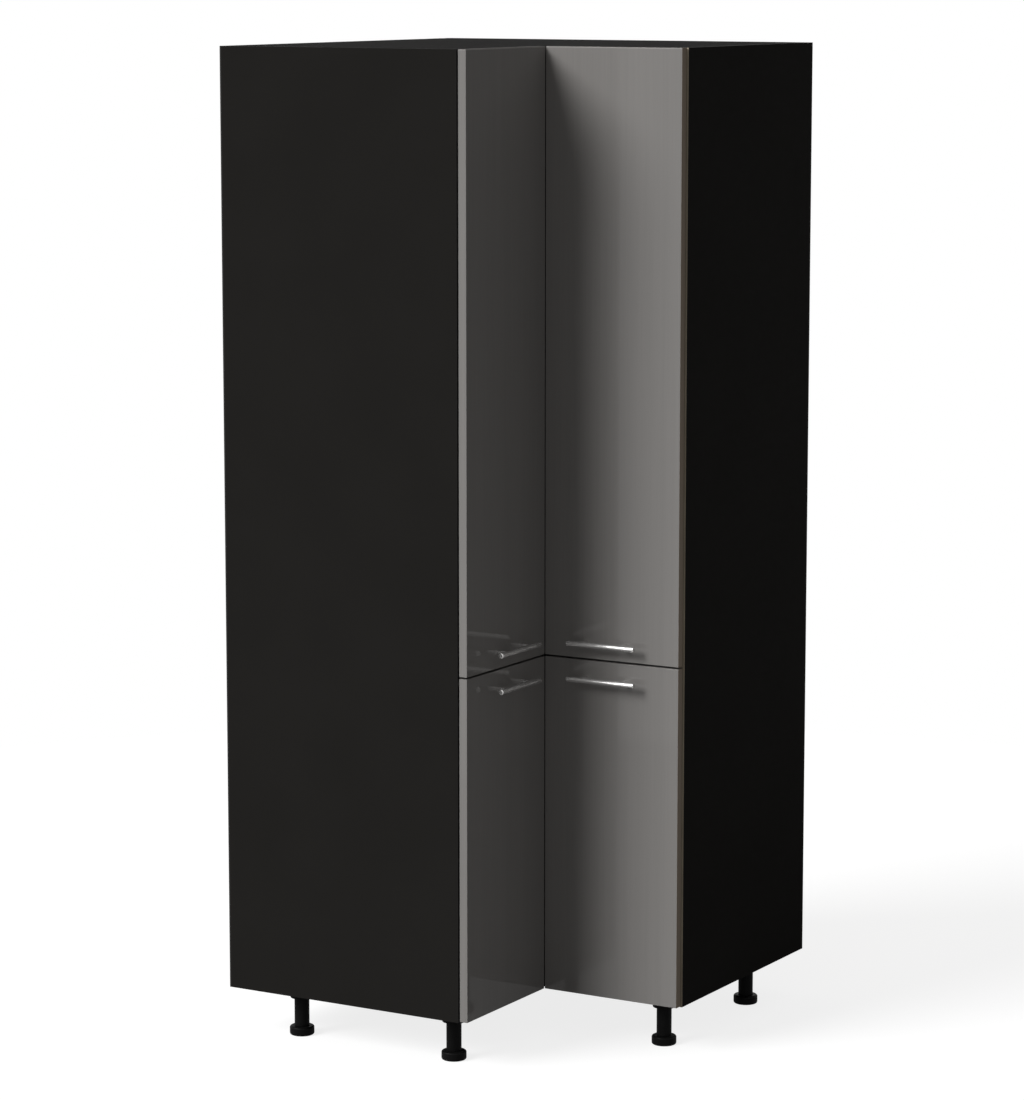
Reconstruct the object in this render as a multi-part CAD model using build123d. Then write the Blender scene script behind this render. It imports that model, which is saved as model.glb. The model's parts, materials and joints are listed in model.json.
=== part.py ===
from build123d import *
import math
import os

# A tall L-shaped corner pantry cabinet with four doors, standing on levelling feet. Millimetres.
# The origin is on the floor at the centre of the square plan, with +Z up.
# The rear wall is along +Y and the left wall along -X. The right wing ends at +X and its doors
# face -Y. The left wing ends at -Y and its doors face +X. The two wings mirror each other about
# the diagonal, so most of the left wing's pieces are the right wing's, reflected by across().
# Each pair of doors folds: the right door hangs on the right end panel by concealed hinges, and
# the left door hangs on the right one by butt hinges in the corner between them.

# The cabinet
PLAN = 900.0
LEG_HEIGHT = 100.0
BODY_HEIGHT = 1970.0
CARCASS_DEPTH = 563.0
SPLIT_HEIGHT = 715.0

# Boards
BOARD = 18.0
BACK_BOARD = 3.0
EDGE_BAND = 1.0
STILE_WIDTH = 160.0
SHELF_PLAY = 1.5
SHELF_SETBACK = 20.0
UPPER_SHELF_COUNT = 3

# Doors
DOOR = 18.0
DOOR_GAP = 2.0
DOOR_SIDE_INSET = 3.0
DOOR_CORNER_GAP = 0.7
DOOR_SPLIT_GAP = 4.0
DOOR_BOTTOM_INSET = 2.0
DOOR_EDGE_ROUND = 0.8
BUMPER_RADIUS = 3.0
BUMPER_CLEARANCE = 0.3
BUMPER_FROM_CORNER = 37.0
BUMPER_FROM_SIDE = 40.0
BUMPER_FROM_DOOR_EDGE = 3.5

# Handles
HANDLE_LENGTH = 158.0
HANDLE_RADIUS = 6.0
HANDLE_END_ROUND = 1.5
HANDLE_PROJECTION = 32.0
HANDLE_HOLE_SPACING = 96.0
HANDLE_POST_RADIUS = 5.0
HANDLE_FROM_FREE_EDGE = 145.3
UPPER_HANDLE_HEIGHT = 33.0
LOWER_HANDLE_DROP = 38.0
HANDLE_SCREW_RADIUS = 2.0
HANDLE_HOLE_RADIUS = 2.2
HANDLE_SCREW_BITE = 12.0
HANDLE_SCREW_HEAD_RADIUS = 4.0
HANDLE_SCREW_HEAD = 2.4

# Legs and feet
LEG_FROM_SIDE = 70.0
LEG_FROM_FRONT = 53.0
LEG_FROM_WALL = 135.0
FLANGE_RADIUS = 24.0
FLANGE_HEIGHT = 6.0
FLANGE_ROUND = 1.0
SKIRT_HEIGHT = 14.0
SKIRT_WALL = 2.0
SPIGOT_HEIGHT = 14.0
POST_RADIUS = 15.75
POST_WALL = 3.0
COLLAR_HEIGHT = 12.0
FOOT_RADIUS = 26.0
FOOT_HEIGHT = 19.0
FOOT_ROUND = 4.0
FOOT_STEM_RADIUS = 10.0
FOOT_STEM_LENGTH = 50.0
FOOT_SEAT_GAP = 0.3

# Panel joints: cams and dowels along each end panel
CAM_COUNT = 3
CAM_FROM_FRONT = 100.0
CAM_FROM_WALL = 103.0
DOWEL_FROM_CAM = 32.0
CAM_RADIUS = 7.5
CAM_HEIGHT = 12.5
CAM_REACH = 34.0
CAM_BORE_END = 1.0
CAM_SLOT_WIDTH = 1.2
CAM_SLOT_DEPTH = 1.5
BOLT_RADIUS = 3.5
BOLT_THREAD_RADIUS = 2.5
BOLT_THREAD = 11.0
DOWEL_RADIUS = 4.0
DOWEL_IN_SIDE = 12.0
DOWEL_IN_PANEL = 22.0

# Shelf pins
PIN_RADIUS = 2.5
PIN_DEPTH = 9.0
PIN_STUB = 8.0
PIN_COLLAR_RADIUS = 4.0
PIN_COLLAR = 1.0
PIN_PITCH = 32.0
PIN_FROM_EDGE = 50.0
STILE_PIN_FROM_EDGE = 30.0

# Screws
WOOD_SCREW_RADIUS = 1.75
WOOD_SCREW_HEAD_RADIUS = 2.9
WOOD_SCREW_HEAD = 2.0
WOOD_SCREW_BITE = 12.0
BACK_SCREW_RADIUS = 1.5
BACK_SCREW_HEAD_RADIUS = 3.2
BACK_SCREW_HEAD = 1.5
BACK_SCREW_BITE = 13.0
BACK_SCREW_ROWS = 5
BACK_SCREW_FROM_END = 80.0
BACK_SCREW_FROM_SIDE = 224.0
BACK_SCREW_FROM_CORNER = 337.0
STILE_SCREW_RADIUS = 3.0
STILE_SCREW_HEAD_RADIUS = 5.0
STILE_SCREW_HEAD = 3.0
STILE_SCREW_BITE = 30.0
STILE_SCREW_FROM_EDGE = 40.0

# Wall brackets
BRACKET_WIDTH = 50.0
BRACKET_DROP = 60.0
BRACKET_REACH = 40.0
BRACKET_SHEET = 2.5
BRACKET_FROM_SIDE = 212.0
BRACKET_HOLE_SPACING = 32.0
BRACKET_HOLE_RADIUS = 3.25
BRACKET_HOLE_DROP = 40.0
BRACKET_SCREW_FROM_WALL = 25.0

# Hinges: in plan, u runs outward from the end panel's inner face and v into the cabinet from its front edge
HINGE_FROM_DOOR_END = 100.0
ARM_PIVOT_U = -18.0
ARM_PIVOT_V = 8.0
CUP_PIVOT_U = 4.0
CUP_PIVOT_DEPTH = 4.5
LINK_BEND_U = -5.5
LINK_BEND_DEPTH = 9.0
LINK_HALF = 1.1
LINK_EYE_RADIUS = 2.8
LINK_HALF_HEIGHT = 3.6
PIVOT_PIN_RADIUS = 1.4
CUP_RADIUS = 17.5
CUP_DEPTH = 12.0
CUP_WALL = 1.0
CUP_FROM_DOOR_EDGE = 3.0
CUP_FLANGE = 1.0
CUP_FLANGE_HALF_HEIGHT = 29.0
CUP_FLANGE_INWARD = 14.0
CUP_FLANGE_OUTWARD = 7.0
CUP_SCREW_OFFSET = 9.5
CUP_SCREW_HALF_SPACING = 22.5
CHEEK = 1.5
ARM_LENGTH = 60.0
ARM_SHEET = 1.5
ARM_RISE = 4.5
ARM_TIP_RADIUS = 3.2
PLATE_HEIGHT = 9.0
PLATE_START = 22.0
PLATE_END = 58.0
PLATE_HALF_HEIGHT = 8.0
PLATE_SCREW_V = 37.0
PLATE_SCREW_HALF_SPACING = 16.0
PLATE_WING = 3.0
PLATE_WING_HALF_HEIGHT = 23.0
PLATE_WING_HALF_LENGTH = 6.0
ARM_SCREW_V = 46.0
ARM_SCREW_RADIUS = 2.9
ARM_SCREW_HEAD_RADIUS = 4.5
ARM_SCREW_HEAD = 2.0

# Fold hinges in the corner between the doors, with three knuckles on one pin
FOLD_AXIS_DEPTH = 4.0
FOLD_KNUCKLE_RADIUS = 4.5
FOLD_PIN_RADIUS = 2.0
FOLD_PLATE_REACH = 45.0
FOLD_PLATE = 1.5
FOLD_HALF_HEIGHT = 32.0
FOLD_MIDDLE_HALF_HEIGHT = 11.0
FOLD_KNUCKLE_GAP = 0.3
FOLD_PLATE_GAP = 0.5
FOLD_SCREW_REACH = 34.0
FOLD_SCREW_STEP = 8.0
FOLD_SCREW_HALF_SPACING = 22.0

# Clearances
SCREW_CLEARANCE = 0.05
BOLT_CLEARANCE = 0.5
PIVOT_CLEARANCE = 0.05
PIN_FIT = 0.01
LINK_SIDE_PLAY = 0.3
STEM_CLEARANCE = 0.05
BORE_END = 1.0
CUP_BORE_CLEARANCE = 0.1

# Worked out from the sizes above
HALF = PLAN / 2
FRONT = HALF - CARCASS_DEPTH
INNER = HALF - BOARD
WALL = HALF - BACK_BOARD
BODY_BOTTOM = LEG_HEIGHT
BODY_TOP = LEG_HEIGHT + BODY_HEIGHT
SPLIT = BODY_BOTTOM + SPLIT_HEIGHT
MIDDLE_BOTTOM = SPLIT - BOARD / 2
TOP_BOTTOM = BODY_TOP - BOARD
DOOR_BACK = FRONT - DOOR_GAP
DOOR_FRONT = DOOR_BACK - DOOR
DOOR_OUTER = HALF - DOOR_SIDE_INSET
DOOR_FREE = -DOOR_FRONT + DOOR_CORNER_GAP
FLANGE_SCREW_CIRCLE = (POST_RADIUS + FLANGE_RADIUS - SKIRT_WALL) / 2
DIAGONAL = Plane(origin=(0, 0, 0), z_dir=(1, 1, 0))

X = (1, 0, 0)
Y = (0, 1, 0)
Z = (0, 0, 1)
MINUS_X = (-1, 0, 0)
MINUS_Y = (0, -1, 0)
MINUS_Z = (0, 0, -1)


def slab(x0, x1, y0, y1, z0, z1):
    """A box between two corners."""
    size = Box(x1 - x0, y1 - y0, z1 - z0)
    return Pos((x0 + x1) / 2, (y0 + y1) / 2, (z0 + z1) / 2) * size


def rod(start, direction, length, radius):
    """A cylinder that starts at a point and runs along a direction."""
    return Solid.make_cylinder(radius, length, Plane(origin=start, z_dir=direction))


def along(point, direction, distance):
    """The point that lies a distance from another along a direction."""
    return tuple(p + d * distance for p, d in zip(point, direction))


def across(shape):
    """The left wing's copy of a shape of the right wing."""
    return shape.mirror(DIAGONAL)


def both(shapes):
    """Shapes of the right wing, and the left wing's copies of them."""
    return shapes + [across(s) for s in shapes]


def raised(shapes, z):
    """Copies of shapes lifted by z."""
    return [Pos(0, 0, z) * s for s in shapes]


def group(shapes):
    """Separate solids in one node."""
    solids = [solid for s in shapes for solid in s.solids()]
    return Compound(children=solids)


def screw(seat, direction, bite, radius, head_radius, head):
    """A screw whose head's underside is at the seat, driven along the direction."""
    shank = rod(seat, direction, bite, radius)
    return rod(along(seat, direction, -head), direction, head, head_radius) + shank


def screw_bore(seat, direction, bite, radius):
    """The hole for a screw's shank, from a little before the seat to past its tip."""
    start = along(seat, direction, -BORE_END)
    return rod(start, direction, bite + 2 * BORE_END, radius + SCREW_CLEARANCE)


def evenly(low, high, count):
    """Stations spread evenly between two ends, both included."""
    return [low + (high - low) * i / (count - 1) for i in range(count)]


def l_board(z, play=0.0, setback=0.0):
    """An L-shaped board of the cabinet's plan, with its underside at z."""
    back = WALL - play
    end = INNER - play
    front = FRONT + setback
    corners = [(-back, back), (end, back), (end, front), (-front, front), (-front, -end), (-back, -end)]
    outline = make_face(Polyline(*corners, close=True))
    return extrude(Pos(0, 0, z) * outline, amount=BOARD)


def stile_notch(z, play=0.0):
    """The corner cut out of an L-shaped board that passes the rear corner stile."""
    right = -WALL + BOARD + play
    front = WALL - STILE_WIDTH - play
    return slab(-HALF, right, front, HALF, z - BORE_END, z + BOARD + BORE_END)


def equal_shelves(low, high, count):
    """Undersides of shelves that divide a compartment into equal heights."""
    clear = (high - low - count * BOARD) / (count + 1)
    return [low + clear * (i + 1) + BOARD * i for i in range(count)]


def panel_joint(z_middle, face_z, into):
    """Cams, bolts and dowels that join an L-shaped board to the right end panel.

    face_z is the board's face that the cams are bored from, and into is the way into the board.
    """
    joint = {"cams": [], "bolts": [], "dowels": [], "end_cuts": [], "board_cuts": []}
    cam_rows = evenly(FRONT + CAM_FROM_FRONT, HALF - CAM_FROM_WALL, CAM_COUNT)
    for y in cam_rows:
        centre = (INNER - CAM_REACH, y, z_middle)
        seat = (INNER, y, z_middle)
        face = (INNER - CAM_REACH, y, face_z)
        bolt = rod(centre, X, CAM_REACH, BOLT_RADIUS) + rod(seat, X, BOLT_THREAD, BOLT_THREAD_RADIUS)
        passage = rod(along(centre, X, -BOLT_RADIUS - BOLT_CLEARANCE), X, CAM_REACH * 2,
                      BOLT_RADIUS + BOLT_CLEARANCE)
        cam = rod(face, into, CAM_HEIGHT, CAM_RADIUS) - passage
        slot = Pos(*face) * Box(CAM_RADIUS, CAM_SLOT_WIDTH, 2 * CAM_SLOT_DEPTH)
        slot += Pos(*face) * Box(CAM_SLOT_WIDTH, CAM_RADIUS, 2 * CAM_SLOT_DEPTH)
        joint["cams"].append(cam - slot)
        joint["bolts"].append(bolt)
        outside = along(face, into, -BORE_END)
        joint["board_cuts"].append(rod(outside, into, CAM_HEIGHT + BORE_END + CAM_BORE_END,
                                       CAM_RADIUS + SCREW_CLEARANCE))
        joint["board_cuts"].append(rod(centre, X, CAM_REACH + BORE_END, BOLT_RADIUS + BOLT_CLEARANCE))
        joint["end_cuts"].append(screw_bore(seat, X, BOLT_THREAD, BOLT_THREAD_RADIUS))
    for y in (cam_rows[0] + DOWEL_FROM_CAM, cam_rows[-1] - DOWEL_FROM_CAM):
        seat = (INNER, y, z_middle)
        start = along(seat, X, -DOWEL_IN_PANEL)
        joint["dowels"].append(rod(start, X, DOWEL_IN_PANEL + DOWEL_IN_SIDE - BORE_END, DOWEL_RADIUS))
        bore = rod(along(start, X, -BORE_END), X, DOWEL_IN_PANEL + DOWEL_IN_SIDE + BORE_END,
                   DOWEL_RADIUS + SCREW_CLEARANCE)
        joint["end_cuts"].append(bore)
        joint["board_cuts"].append(bore)
    return joint


def shelf_pins(z):
    """Pins under a shelf on the right end panel, and the row of holes they can move to."""
    pins = []
    holes = []
    axis = z - PIN_RADIUS
    for y in (FRONT + SHELF_SETBACK + PIN_FROM_EDGE, WALL - PIN_FROM_EDGE):
        pins.append(shelf_pin((INNER, y, axis), X))
        holes += pin_holes((INNER, y, axis), X)
    return pins, holes


def stile_pins(z):
    """Pins under a shelf on the rear corner stile, with their holes."""
    pins = []
    holes = []
    for y in (WALL - STILE_WIDTH + STILE_PIN_FROM_EDGE, WALL - STILE_PIN_FROM_EDGE):
        seat = (-WALL + BOARD, y, z - PIN_RADIUS)
        pins.append(shelf_pin(seat, MINUS_X))
        holes += pin_holes(seat, MINUS_X)
    return pins, holes


def shelf_pin(seat, into):
    """One pin: a shank in the board, a collar against its face and the stub that carries the shelf."""
    outer = along(seat, into, -PIN_STUB)
    collar = rod(along(seat, into, -PIN_COLLAR), into, PIN_COLLAR, PIN_COLLAR_RADIUS)
    return rod(outer, into, PIN_STUB + PIN_DEPTH, PIN_RADIUS) + collar


def pin_holes(seat, into):
    """Three holes one pitch apart, so that the shelf can be moved."""
    holes = []
    for step in (-1, 0, 1):
        at = (seat[0], seat[1], seat[2] + step * PIN_PITCH)
        holes.append(screw_bore(at, into, PIN_DEPTH, PIN_RADIUS))
    return holes


def back_screw_rows():
    """Heights of the back board screws in the upright boards."""
    return evenly(BODY_BOTTOM + BACK_SCREW_FROM_END, BODY_TOP - BACK_SCREW_FROM_END, BACK_SCREW_ROWS)


def back_screw_stations():
    """Seats of the screws through the rear back board: (x, z, board they bite into)."""
    stations = []
    for z in back_screw_rows():
        stations.append((INNER + BOARD / 2, z, "end"))
    for board, z in (("bottom", BODY_BOTTOM), ("middle", MIDDLE_BOTTOM), ("top", TOP_BOTTOM)):
        for x in (HALF - BACK_SCREW_FROM_SIDE, -HALF + BACK_SCREW_FROM_CORNER):
            stations.append((x, z + BOARD / 2, board))
    return stations


def back_screw(seat, direction):
    """A countersunk screw whose head lies flush in the back board's outer face."""
    under_head = along(seat, direction, BACK_SCREW_HEAD)
    return screw(under_head, direction, BACK_BOARD - BACK_SCREW_HEAD + BACK_SCREW_BITE, BACK_SCREW_RADIUS,
                 BACK_SCREW_HEAD_RADIUS, BACK_SCREW_HEAD)


def back_screw_bore(seat, direction):
    """The countersink and hole for a back board screw."""
    under_head = along(seat, direction, BACK_SCREW_HEAD)
    sink = rod(along(seat, direction, -BORE_END), direction, BACK_SCREW_HEAD + BORE_END,
               BACK_SCREW_HEAD_RADIUS + SCREW_CLEARANCE)
    return sink + screw_bore(under_head, direction, BACK_BOARD + BACK_SCREW_BITE, BACK_SCREW_RADIUS)


def stile_screw_cut(seat, direction, bite):
    """The countersink and hole for a screw between a panel and the stile."""
    sink = rod(along(seat, direction, -STILE_SCREW_HEAD - BORE_END), direction, STILE_SCREW_HEAD + BORE_END,
               STILE_SCREW_HEAD_RADIUS + SCREW_CLEARANCE)
    return sink + screw_bore(seat, direction, bite, STILE_SCREW_RADIUS)


def bar_between(p, q, half, low, high):
    """An upright plate with round ends that runs between two points of the plan."""
    length = math.dist(p, q)
    turn = math.degrees(math.atan2(q[1] - p[1], q[0] - p[0]))
    middle = ((p[0] + q[0]) / 2, (p[1] + q[1]) / 2, (low + high) / 2)
    plate = Pos(*middle) * Rot(0, 0, turn) * Box(length, 2 * half, high - low)
    return plate + rod((*p, low), Z, high - low, half) + rod((*q, low), Z, high - low, half)


def wing_point(u, v):
    """A point of the right wing's plan, from hinge coordinates."""
    return (INNER + u, FRONT + v)


ARM_PIVOT = wing_point(ARM_PIVOT_U, ARM_PIVOT_V)
CUP_PIVOT = wing_point(CUP_PIVOT_U, -DOOR_GAP - CUP_PIVOT_DEPTH)
LINK_BEND = wing_point(LINK_BEND_U, -DOOR_GAP - LINK_BEND_DEPTH)
CUP_X = DOOR_OUTER - CUP_FROM_DOOR_EDGE - CUP_RADIUS
FOLD_AXIS = (-DOOR_BACK + FOLD_AXIS_DEPTH, DOOR_BACK - FOLD_AXIS_DEPTH)
CHEEK_IN = LINK_HALF_HEIGHT + LINK_SIDE_PLAY
CHEEK_OUT = CHEEK_IN + CHEEK
ARM_TOP_U = ARM_PIVOT_U - ARM_RISE


def cheeks(shape_between):
    """A pair of side cheeks, above and below the link, from a function of their two heights."""
    return [shape_between(CHEEK_IN, CHEEK_OUT), shape_between(-CHEEK_OUT, -CHEEK_IN)]


def hinge_plate():
    """The mounting plate on the end panel, with screw wings above and below."""
    outer = INNER - PLATE_HEIGHT
    body = slab(outer, INNER, FRONT + PLATE_START, FRONT + PLATE_END, -PLATE_HALF_HEIGHT, PLATE_HALF_HEIGHT)
    y = FRONT + PLATE_SCREW_V
    wings = slab(INNER - PLATE_WING, INNER, y - PLATE_WING_HALF_LENGTH, y + PLATE_WING_HALF_LENGTH,
                 -PLATE_WING_HALF_HEIGHT, PLATE_WING_HALF_HEIGHT)
    plate = body + wings
    plate -= plate_screw_bores()
    return plate - screw_bore((outer, FRONT + ARM_SCREW_V, 0), X, PLATE_HEIGHT, ARM_SCREW_RADIUS)


def plate_screw_bores():
    """The holes for a mounting plate's two screws."""
    return [screw_bore(seat, X, WOOD_SCREW_BITE, WOOD_SCREW_RADIUS) for seat in plate_screw_seats()]


def plate_screw_seats():
    """Where the two screws of a mounting plate seat."""
    y = FRONT + PLATE_SCREW_V
    return [(INNER - PLATE_WING, y, side * PLATE_SCREW_HALF_SPACING) for side in (-1, 1)]


def hinge_arm():
    """The channel-shaped arm: two cheeks on the plate, a web between them and the pivot at its tip."""
    def cheek(low, high):
        x = INNER + ARM_TOP_U
        flank = slab(x, INNER - PLATE_HEIGHT, FRONT + PLATE_START, FRONT + ARM_LENGTH, low, high)
        nose = slab(x, ARM_PIVOT[0] + ARM_TIP_RADIUS, ARM_PIVOT[1], FRONT + ARM_LENGTH, low, high)
        return flank + nose + rod((*ARM_PIVOT, low), Z, high - low, ARM_TIP_RADIUS)

    web = slab(INNER + ARM_TOP_U, INNER + ARM_TOP_U + ARM_SHEET, FRONT + PLATE_START, FRONT + ARM_LENGTH,
               -CHEEK_OUT, CHEEK_OUT)
    upper, lower = cheeks(cheek)
    arm = web + upper + lower
    arm -= pivot_bore(ARM_PIVOT, PIN_FIT)
    return arm - screw_bore((INNER + ARM_TOP_U, FRONT + ARM_SCREW_V, 0), X, ARM_SHEET, ARM_SCREW_RADIUS)


def hinge_arm_screw():
    """The screw that holds the arm on its plate."""
    bite = -ARM_TOP_U - 2 * BORE_END
    return screw((INNER + ARM_TOP_U, FRONT + ARM_SCREW_V, 0), X, bite, ARM_SCREW_RADIUS,
                 ARM_SCREW_HEAD_RADIUS, ARM_SCREW_HEAD)


def pivot_pin(at):
    """A pin across the hinge at one of its two pivots."""
    return rod((*at, -CHEEK_OUT), Z, 2 * CHEEK_OUT, PIVOT_PIN_RADIUS)


def pivot_bore(at, clearance):
    """The hole for a pivot pin, through both cheeks."""
    return rod((*at, -CHEEK_OUT - BORE_END), Z, 2 * (CHEEK_OUT + BORE_END), PIVOT_PIN_RADIUS + clearance)


def hinge_link():
    """The bent link between the arm's pivot and the cup's."""
    low = -LINK_HALF_HEIGHT
    high = LINK_HALF_HEIGHT
    link = bar_between(ARM_PIVOT, LINK_BEND, LINK_HALF, low, high)
    link += bar_between(LINK_BEND, CUP_PIVOT, LINK_HALF, low, high)
    for pivot in (ARM_PIVOT, CUP_PIVOT):
        link += rod((*pivot, low), Z, high - low, LINK_EYE_RADIUS)
    for pivot in (ARM_PIVOT, CUP_PIVOT):
        link -= pivot_bore(pivot, PIVOT_CLEARANCE)
    return link


def hinge_cup():
    """The round cup let into the door's back, its fixing flange and the two cheeks that hold its pivot."""
    floor = DOOR_BACK - CUP_DEPTH
    centre = (CUP_X, floor, 0)
    hollow_radius = CUP_RADIUS - CUP_WALL
    hollow = rod((CUP_X, floor + CUP_WALL, 0), Y, CUP_DEPTH + CUP_FLANGE + BORE_END, hollow_radius)
    flange = slab(CUP_X - CUP_FLANGE_INWARD, CUP_X + CUP_FLANGE_OUTWARD, DOOR_BACK, DOOR_BACK + CUP_FLANGE,
                  -CUP_FLANGE_HALF_HEIGHT, CUP_FLANGE_HALF_HEIGHT)
    flange -= [screw_bore(seat, MINUS_Y, WOOD_SCREW_BITE, WOOD_SCREW_RADIUS) for seat in cup_screw_seats()]
    shell = rod(centre, Y, CUP_DEPTH, CUP_RADIUS) + flange - hollow

    def cheek(low, high):
        x = CUP_PIVOT[0]
        foot = slab(x - LINK_EYE_RADIUS, x + LINK_EYE_RADIUS, floor, CUP_PIVOT[1], low, high)
        return foot + rod((*CUP_PIVOT, low), Z, high - low, LINK_EYE_RADIUS)

    inside = rod(centre, Y, CUP_DEPTH, hollow_radius + CUP_WALL / 2)
    upper, lower = cheeks(cheek)
    cup = shell + (upper & inside) + (lower & inside)
    return cup - pivot_bore(CUP_PIVOT, PIN_FIT)


def cup_screw_seats():
    """Where the two screws of a cup seat on its flange."""
    x = CUP_X - CUP_SCREW_OFFSET
    return [(x, DOOR_BACK + CUP_FLANGE, side * CUP_SCREW_HALF_SPACING) for side in (-1, 1)]


def cup_bore():
    """The round hole in the door's back for the cup."""
    start = (CUP_X, DOOR_BACK - CUP_DEPTH - CUP_BORE_CLEARANCE, 0)
    return rod(start, Y, CUP_DEPTH + DOOR_GAP, CUP_RADIUS + CUP_BORE_CLEARANCE)


def fold_plate(knuckles, pin_clearance):
    """A fold hinge's plate on the back of the right door, with knuckles at the given height spans."""
    root = FOLD_AXIS[0] + FOLD_KNUCKLE_RADIUS + FOLD_PLATE_GAP
    back = DOOR_BACK + FOLD_PLATE
    tip = FOLD_AXIS[0] + FOLD_PLATE_REACH
    plate = slab(root, tip, DOOR_BACK, back, -FOLD_HALF_HEIGHT, FOLD_HALF_HEIGHT)
    for low, high in knuckles:
        plate += slab(FOLD_AXIS[0], root, DOOR_BACK, back, low, high)
        plate += rod((*FOLD_AXIS, low), Z, high - low, FOLD_KNUCKLE_RADIUS)
    pin_length = 2 * (FOLD_HALF_HEIGHT + BORE_END)
    plate -= rod((*FOLD_AXIS, -pin_length / 2), Z, pin_length, FOLD_PIN_RADIUS + pin_clearance)
    return plate - fold_screw_bores()


def fold_screw_bores():
    """The holes for a fold hinge's screws, through its plate and into the door."""
    return [screw_bore(seat, MINUS_Y, WOOD_SCREW_BITE, WOOD_SCREW_RADIUS) for seat in fold_screw_seats()]


def fold_screw_seats():
    """Where the three screws of a fold hinge's plate seat."""
    x = FOLD_AXIS[0] + FOLD_SCREW_REACH
    y = DOOR_BACK + FOLD_PLATE
    outer = [(x + FOLD_SCREW_STEP / 2, y, side * FOLD_SCREW_HALF_SPACING) for side in (-1, 1)]
    return [(x - FOLD_SCREW_STEP / 2, y, 0.0), *outer]


def fold_outer_knuckles():
    """Height spans of the two knuckles that stay with the right door."""
    low = FOLD_MIDDLE_HALF_HEIGHT + FOLD_KNUCKLE_GAP
    return [(low, FOLD_HALF_HEIGHT), (-FOLD_HALF_HEIGHT, -low)]


def fold_middle_knuckle():
    """Height span of the knuckle that turns with the left door."""
    return [(-FOLD_MIDDLE_HALF_HEIGHT, FOLD_MIDDLE_HALF_HEIGHT)]


def fold_pin():
    """The pin through a fold hinge's three knuckles."""
    return rod((*FOLD_AXIS, -FOLD_HALF_HEIGHT), Z, 2 * FOLD_HALF_HEIGHT, FOLD_PIN_RADIUS)


def hinge_heights(low, high, between):
    """Heights of a door's hinges: near its two ends, and at the heights given between them."""
    return [low + HINGE_FROM_DOOR_END, *between, high - HINGE_FROM_DOOR_END]


def wood_screw(seat, direction):
    """A small screw as used on the leg flanges, hinge plates, cups and brackets."""
    return screw(seat, direction, WOOD_SCREW_BITE, WOOD_SCREW_RADIUS,
                 WOOD_SCREW_HEAD_RADIUS, WOOD_SCREW_HEAD)


def door(low, high, handle_z, hinges):
    """A door between two heights, bored for its handle and its fold hinges, as on the right wing."""
    leaf = slab(DOOR_FREE, DOOR_OUTER, DOOR_FRONT, DOOR_BACK, low, high)
    front_edges = leaf.faces().sort_by(Axis.Y)[0].edges()
    leaf = fillet(front_edges, DOOR_EDGE_ROUND)
    cuts = [bore for z in hinges for bore in raised(fold_screw_bores(), z)]
    for x in handle_posts_x():
        cuts.append(screw_bore((x, DOOR_BACK, handle_z), MINUS_Y, DOOR, HANDLE_HOLE_RADIUS))
    return leaf - cuts


def cup_cuts(hinges):
    """The bores in a door for its hinge cups and their screws."""
    bores = [screw_bore(s, MINUS_Y, WOOD_SCREW_BITE, WOOD_SCREW_RADIUS) for s in cup_screw_seats()]
    return [bore for z in hinges for bore in raised([cup_bore(), *bores], z)]


def handle_centre_x():
    """The middle of a right-hand handle."""
    return DOOR_FREE + HANDLE_FROM_FREE_EDGE


def handle_posts_x():
    """The two posts of a right-hand handle."""
    return [handle_centre_x() + side * HANDLE_HOLE_SPACING / 2 for side in (-1, 1)]


def handle_bar(z):
    """The round bar of a right-hand handle, with softened ends."""
    y = DOOR_FRONT - HANDLE_PROJECTION + HANDLE_RADIUS
    bar = rod((handle_centre_x() - HANDLE_LENGTH / 2, y, z), X, HANDLE_LENGTH, HANDLE_RADIUS)
    return fillet(bar.edges().filter_by(GeomType.CIRCLE), HANDLE_END_ROUND)


def handle_posts(z):
    """The two posts between the door and the bar, each tapped for its screw."""
    y = DOOR_FRONT - HANDLE_PROJECTION + HANDLE_RADIUS
    bar = rod((handle_centre_x() - HANDLE_LENGTH, y, z), X, HANDLE_LENGTH * 2, HANDLE_RADIUS)
    posts = []
    for x in handle_posts_x():
        post = rod((x, DOOR_FRONT, z), MINUS_Y, DOOR_FRONT - y, HANDLE_POST_RADIUS) - bar
        tapped = screw_bore((x, DOOR_FRONT, z), MINUS_Y, HANDLE_SCREW_BITE, HANDLE_SCREW_RADIUS)
        posts.append(post - tapped)
    return posts


def handle_screws(z):
    """The two screws that hold a handle from behind the door."""
    screws = []
    for x in handle_posts_x():
        screws.append(screw((x, DOOR_BACK, z), MINUS_Y, DOOR + HANDLE_SCREW_BITE, HANDLE_SCREW_RADIUS,
                            HANDLE_SCREW_HEAD_RADIUS, HANDLE_SCREW_HEAD))
    return screws


def leg_stations():
    """Names and places of the legs: two under each wing's end and one in the rear corner."""
    side = HALF - LEG_FROM_SIDE
    front = FRONT + LEG_FROM_FRONT
    back = HALF - LEG_FROM_WALL
    return {
        "front_right": (side, front),
        "back_right": (side, back),
        "front_left": (-front, -side),
        "back_left": (-back, -side),
        "rear_corner": (-back, back),
    }


def leg_flange_screw_seats(at):
    """Where the three screws of a leg flange seat on its underside."""
    seats = []
    for i in range(3):
        turn = math.radians(90 + 120 * i)
        x = at[0] + FLANGE_SCREW_CIRCLE * math.cos(turn)
        y = at[1] + FLANGE_SCREW_CIRCLE * math.sin(turn)
        seats.append((x, y, LEG_HEIGHT - FLANGE_HEIGHT + WOOD_SCREW_HEAD))
    return seats


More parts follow.
